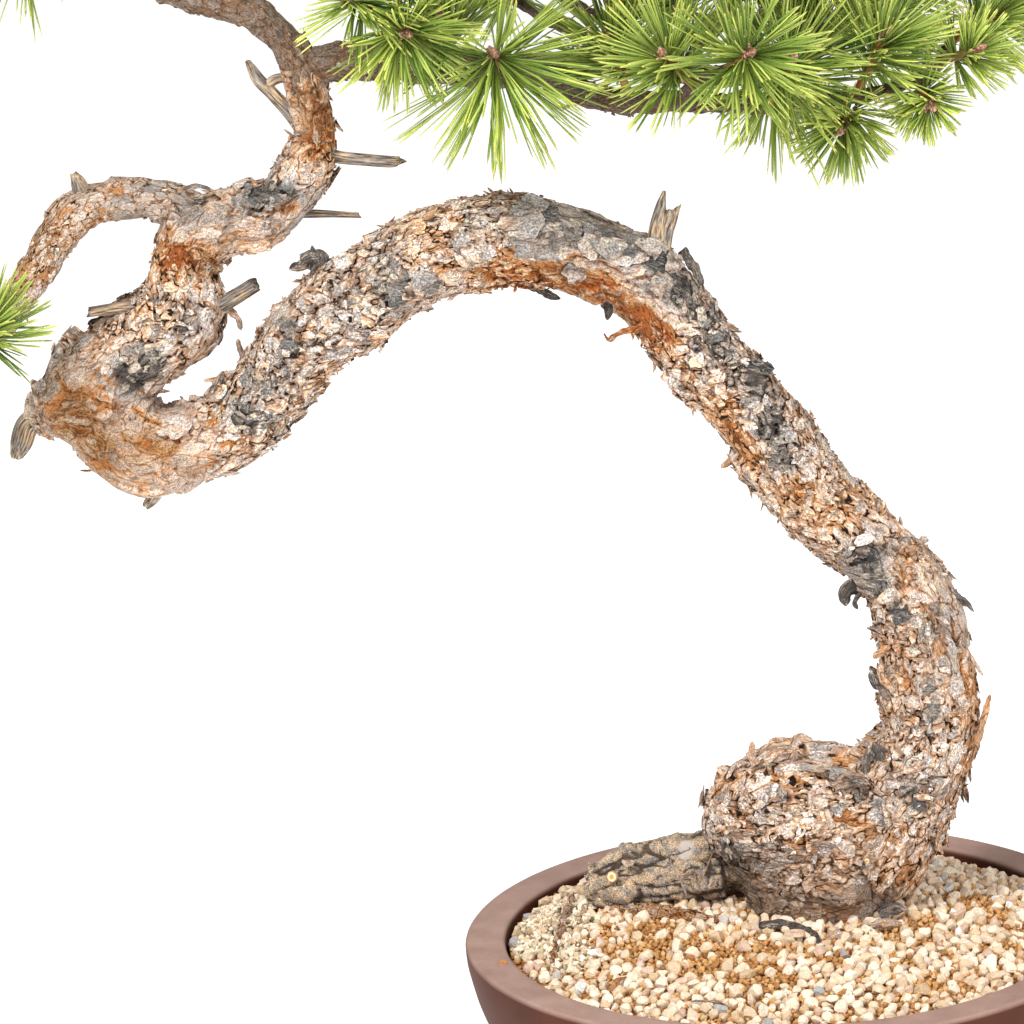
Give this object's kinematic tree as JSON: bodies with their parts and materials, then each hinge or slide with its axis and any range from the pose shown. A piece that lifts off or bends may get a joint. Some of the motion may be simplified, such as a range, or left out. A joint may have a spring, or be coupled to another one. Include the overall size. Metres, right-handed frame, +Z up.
{
  "type": "scots pine bonsai",
  "caption": "Old pine bonsai with an arched, flaking trunk that turns back on itself, a light crown of paired-needle sprays and gravelly soil in a round unglazed pot.",
  "frame": {"origin": "middle of the pot's foot, on the surface that the pot stands on", "axes": "+Z up, +X to the right as the tree is shown, +Y away from the viewer"},
  "size_m": [0.5832, 0.28, 0.6375],
  "materials": {
    "stoneware": "unglazed reddish brown stoneware, matte with a faint sheen on the rim",
    "mesh_plastic": "dark moulded plastic mesh",
    "soil": "loose cream pumice and ochre baked clay grains",
    "bark": "thin flaking plates, grey and pinkish beige over orange inner bark",
    "needles": "stiff green needles with a soft sheen; plastic stands in for living leaf"
  },
  "bodies": {
    "root": {"pot": "stoneware", "drain_mesh_1": "mesh_plastic", "drain_mesh_2": "mesh_plastic", "drain_mesh_3": "mesh_plastic", "soil": "soil", "trunk_and_branches": "bark", "needle_spray_01": "needles", "needle_spray_02": "needles", "needle_spray_03": "needles", "needle_spray_04": "needles", "needle_spray_05": "needles", "needle_spray_06": "needles", "needle_spray_07": "needles", "needle_spray_08": "needles", "needle_spray_09": "needles", "needle_spray_10": "needles", "needle_spray_11": "needles", "needle_spray_12": "needles", "needle_spray_13": "needles", "needle_spray_14": "needles", "needle_spray_15": "needles", "needle_spray_16": "needles", "needle_spray_17": "needles", "needle_spray_18": "needles", "needle_spray_19": "needles", "needle_spray_20": "needles", "needle_spray_21": "needles", "needle_spray_22": "needles", "needle_spray_23": "needles", "needle_spray_24": "needles", "needle_spray_25": "needles", "needle_spray_26": "needles", "needle_spray_27": "needles", "needle_spray_28": "needles", "needle_spray_29": "needles", "needle_spray_30": "needles", "needle_spray_31": "needles", "needle_spray_32": "needles", "needle_spray_33": "needles", "needle_spray_34": "needles", "needle_spray_35": "needles", "needle_spray_36": "needles", "needle_spray_37": "needles", "needle_spray_38": "needles", "needle_spray_39": "needles", "needle_spray_40": "needles", "needle_spray_41": "needles", "needle_spray_42": "needles", "needle_spray_43": "needles", "needle_spray_44": "needles", "needle_spray_45": "needles", "needle_spray_46": "needles", "needle_spray_47": "needles", "needle_spray_48": "needles", "needle_spray_49": "needles"}
  },
  "joints": []
}
